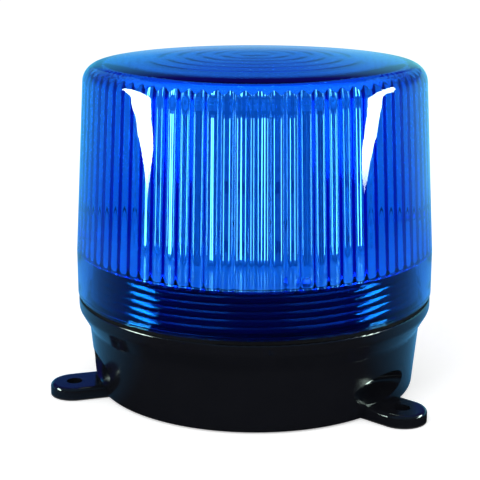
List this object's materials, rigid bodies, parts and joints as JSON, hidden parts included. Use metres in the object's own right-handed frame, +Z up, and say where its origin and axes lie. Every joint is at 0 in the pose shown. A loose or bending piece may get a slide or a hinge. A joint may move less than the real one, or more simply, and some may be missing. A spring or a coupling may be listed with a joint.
{
  "type": "flashing warning light",
  "caption": "Flashing warning light: a clear blue fluted lens screws on to a round black base with ears, over a tower of light boards and a flasher circuit.",
  "frame": {"origin": "on the light's axis, in the plane of the base underside, at the centre of the ear holes", "axes": "+Z up along the axis of the base and lens, +Y towards the first ear"},
  "size_m": [0.1044, 0.1093, 0.0926],
  "materials": {
    "lens_blue": "clear blue moulded plastic, polished",
    "base_black": "black moulded plastic, glossy",
    "rubber_black": "soft black rubber",
    "board_white": "circuit board with white resist",
    "board_green": "circuit board with green resist",
    "led_white": "white emitter packages with pale windows",
    "part_black": "black moulded component bodies",
    "screw_steel": "zinc-plated steel",
    "can_sleeve": "shrink sleeve on capacitor cans",
    "ferrite": "pressed ferrite",
    "copper": "lacquered copper wire",
    "terminal_green": "green moulded plastic",
    "wire_red": "red wire insulation",
    "wire_black": "black wire insulation"
  },
  "bodies": {
    "base": {"base_housing": "base_black", "cable_grommet": "rubber_black", "driver_board": "board_green", "driver_screws": "screw_steel", "terminal_block": "terminal_green", "terminal_screws": "screw_steel", "storage_capacitors": "can_sleeve", "inductor_core": "ferrite", "inductor_winding": "copper", "power_transistor": "part_black", "timer_chip": "part_black", "link_wire_red": "wire_red", "link_wire_black": "wire_black", "deck_board": "board_white", "deck_screws": "screw_steel", "tower_leds": "led_white", "tower_resistors": "part_black", "cap_board": "board_white", "cap_leds": "led_white", "led_board_1": "board_white", "led_board_2": "board_white", "led_board_3": "board_white", "led_board_4": "board_white", "led_board_5": "board_white", "led_board_6": "board_white"},
    "seal": {"lens_seal": "rubber_black"},
    "lens": {"lens": "lens_blue"}
  },
  "joints": [
    {"name": "lens_lift", "type": "slide", "parent": "base", "child": "seal", "axis": [0, 0, 1], "range_m": [0, 0.0091]},
    {"name": "lens_turn", "type": "hinge", "parent": "seal", "child": "lens", "pos_m": [0, 0, 0.0266], "axis": [0, 0, 1], "range_deg": [0, 1620]}
  ],
  "couplings": [
    {"joint": "lens_lift", "follows": "lens_turn", "m_per_rad": 0.00031831}
  ]
}
